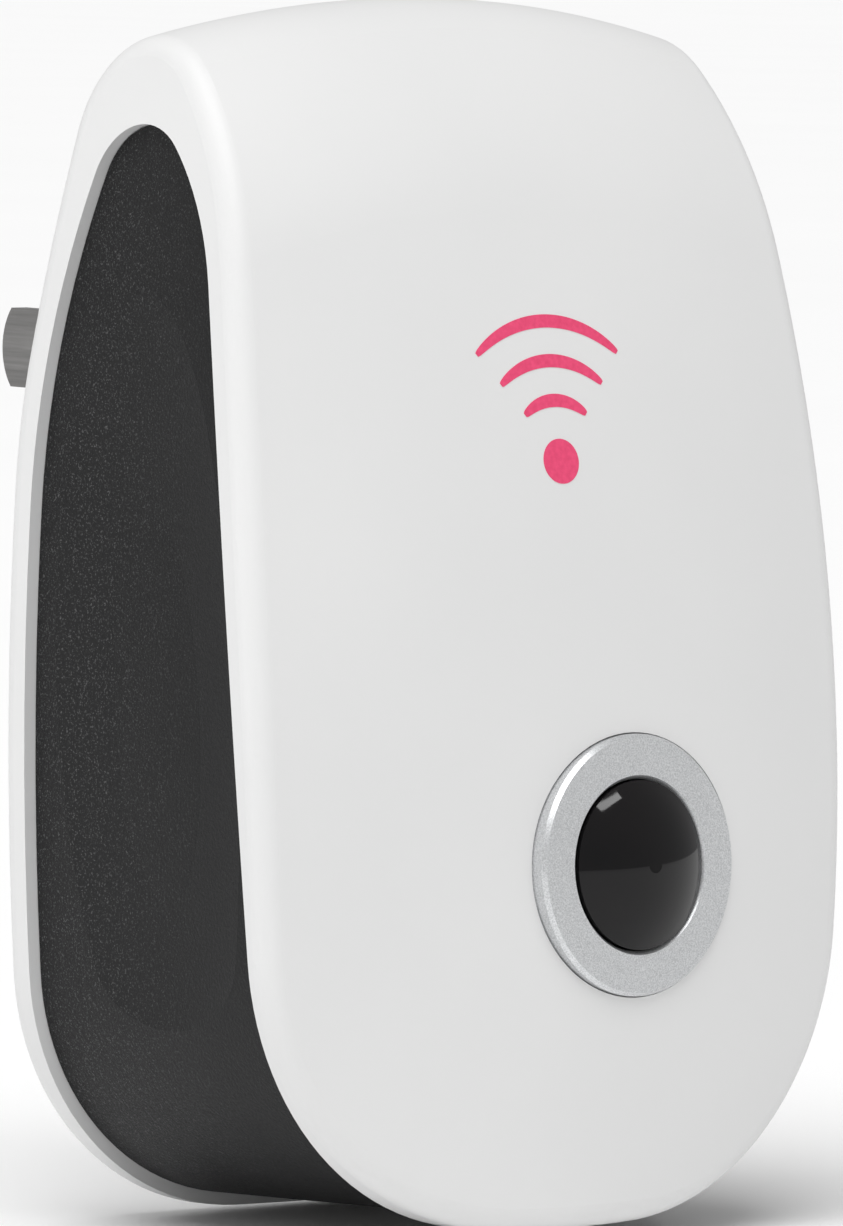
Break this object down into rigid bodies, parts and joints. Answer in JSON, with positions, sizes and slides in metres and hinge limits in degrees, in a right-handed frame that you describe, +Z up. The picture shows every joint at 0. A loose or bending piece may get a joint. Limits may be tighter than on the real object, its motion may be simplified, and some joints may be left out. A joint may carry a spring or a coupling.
{
  "type": "plug-in ultrasonic pest repeller",
  "caption": "Plug-in wall case with a curved white face, black recessed sides, a dark domed lens in a silver bezel and a two-blade plug behind.",
  "frame": {"origin": "middle of the plug's face that meets the wall outlet, between the two blades", "axes": "+Z up, +Y into the wall along the blades, so the case faces -Y, +X to the right as seen from the room"},
  "size_m": [0.0588, 0.0699, 0.0948],
  "materials": {
    "white_shell": "satin moulded white plastic",
    "black_frame": "fine-grained matte black plastic",
    "silver_bezel": "silver metallic paint on plastic, fine sparkle",
    "dark_lens": "glossy near-black tinted lens",
    "black_inner": "plain black moulding",
    "red_lamp": "red tinted epoxy",
    "blue_lamp": "blue tinted epoxy",
    "board": "green solder mask on laminate",
    "film_box": "yellow moulded box",
    "can_sleeve": "dark shrink sleeve over an aluminium can",
    "black_component": "black epoxy",
    "resistor_body": "beige lacquer",
    "blue_disc": "blue dipped coating",
    "ferrite": "dark sintered ferrite",
    "copper": "enamelled copper wire",
    "gasket": "closed-cell foam",
    "brass": "thin rolled brass",
    "ceramic": "silvered piezo ceramic",
    "plug_plastic": "white moulded plastic",
    "blade_metal": "nickel-plated brass",
    "black_wire": "black PVC insulation",
    "white_wire": "white PVC insulation",
    "red_wire": "red PVC insulation",
    "screw_steel": "zinc-plated steel",
    "label_film": "blank silver-grey polyester label"
  },
  "bodies": {
    "root": {"front_shell": "white_shell", "rear_shell": "white_shell", "side_frame": "black_frame", "bezel_ring": "silver_bezel", "lens_dome": "dark_lens", "light_baffle": "black_inner", "red_lamp": "red_lamp", "blue_lamp": "blue_lamp", "main_board": "board", "film_capacitor": "film_box", "smoothing_capacitor": "can_sleeve", "reservoir_capacitor": "can_sleeve", "rectifier_diodes": "black_component", "resistors": "resistor_body", "fusible_resistor": "resistor_body", "varistor": "blue_disc", "ceramic_capacitors": "blue_disc", "coil_core": "ferrite", "coil_winding": "copper", "driver_chip": "black_component", "transistors": "black_component", "speaker_gasket": "gasket", "speaker_housing": "black_inner", "brass_diaphragm": "brass", "piezo_ceramic": "ceramic", "diaphragm_clamp": "black_inner", "speaker_cap": "black_inner", "plug_base": "plug_plastic", "left_blade": "blade_metal", "right_blade": "blade_metal", "live_wire": "black_wire", "neutral_wire": "white_wire", "speaker_wire_red": "red_wire", "speaker_wire_black": "black_wire", "case_screws": "screw_steel", "board_screws": "screw_steel", "plug_screws": "screw_steel", "rating_label": "label_film"}
  },
  "joints": []
}
